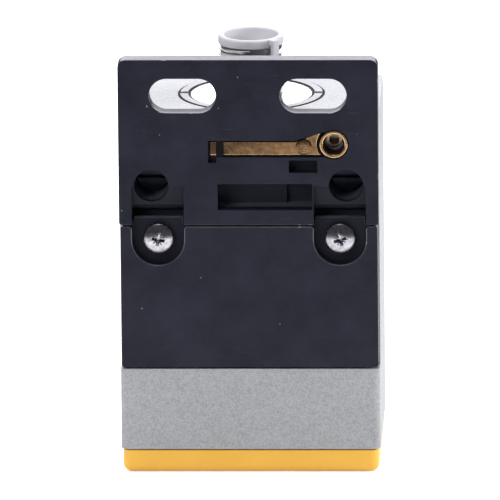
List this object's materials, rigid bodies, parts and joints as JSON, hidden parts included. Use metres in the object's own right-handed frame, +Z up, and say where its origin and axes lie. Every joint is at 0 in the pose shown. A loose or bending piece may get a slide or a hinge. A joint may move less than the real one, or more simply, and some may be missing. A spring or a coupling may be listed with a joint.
{
  "type": "inductive proximity sensor",
  "caption": "Block-type inductive proximity sensor: grey die-cast housing on a yellow sensing cap, black slotted mounting base, rear cover, terminal cover and threaded cable entry.",
  "frame": {"origin": "middle of the sensing face, on which the sensor stands", "axes": "+Z up, away from the sensing face and along the cable entry; +X to the right and -Y towards the viewer when the slotted mounting face is looked at"},
  "size_m": [0.08, 0.055, 0.1321],
  "materials": {
    "die_cast_grey": "fine speckled grey metallic powder coat",
    "black_plastic": "satin moulded black plastic, lightly scuffed",
    "yellow_plastic": "satin moulded yellow plastic",
    "white_plastic": "soft white moulded plastic",
    "aged_brass": "aged bare brass",
    "nickel": "bright nickel plate",
    "zinc_steel": "bright zinc plate",
    "black_steel": "blackened steel",
    "rubber": "black gasket rubber",
    "ferrite": "sintered ferrite",
    "copper": "enamelled copper wire",
    "board": "green glass-fibre board",
    "resin": "dark casting resin",
    "clear_plastic": "clear moulded light guide",
    "lamp": "lamp package",
    "grey_plastic": "grey moulded plastic"
  },
  "bodies": {
    "sensor": {"housing": "die_cast_grey", "mounting_base": "black_plastic", "rear_cover": "black_plastic", "rear_gasket": "rubber", "base_screws": "black_steel", "cover_screws": "zinc_steel", "earth_strip": "aged_brass", "earth_rivet": "aged_brass", "earth_bush": "aged_brass", "earth_stud": "zinc_steel", "entry_bush": "nickel", "entry_collar_rear": "die_cast_grey", "entry_collar_front": "die_cast_grey", "entry_locknut": "nickel", "sensing_cap": "yellow_plastic", "cap_seal": "rubber", "ferrite_core": "ferrite", "coil_bobbin": "grey_plastic", "coil_winding": "copper", "circuit_board": "board", "light_guides": "clear_plastic", "status_lamps": "lamp", "resin_filling": "resin", "terminal_block": "grey_plastic", "contact_pins": "aged_brass", "terminal_clamps": "zinc_steel", "terminal_screws": "zinc_steel", "front_cover": "black_plastic", "front_gasket": "rubber"},
    "plug": {"transit_plug": "white_plastic"},
    "screw_left": {"retaining_screw_left": "zinc_steel"},
    "screw_right": {"retaining_screw_right": "zinc_steel"}
  },
  "joints": [
    {"name": "plug_pull", "type": "slide", "parent": "sensor", "child": "plug", "axis": [0, 0, 1], "range_m": [0, 0.03]},
    {"name": "screw_left_turn", "type": "hinge", "parent": "sensor", "child": "screw_left", "pos_m": [-0.028, -0.02315, 0.0741], "axis": [0, -1, 0], "continuous": true},
    {"name": "screw_right_turn", "type": "hinge", "parent": "sensor", "child": "screw_right", "pos_m": [0.028, -0.02315, 0.0741], "axis": [0, -1, 0], "continuous": true}
  ]
}
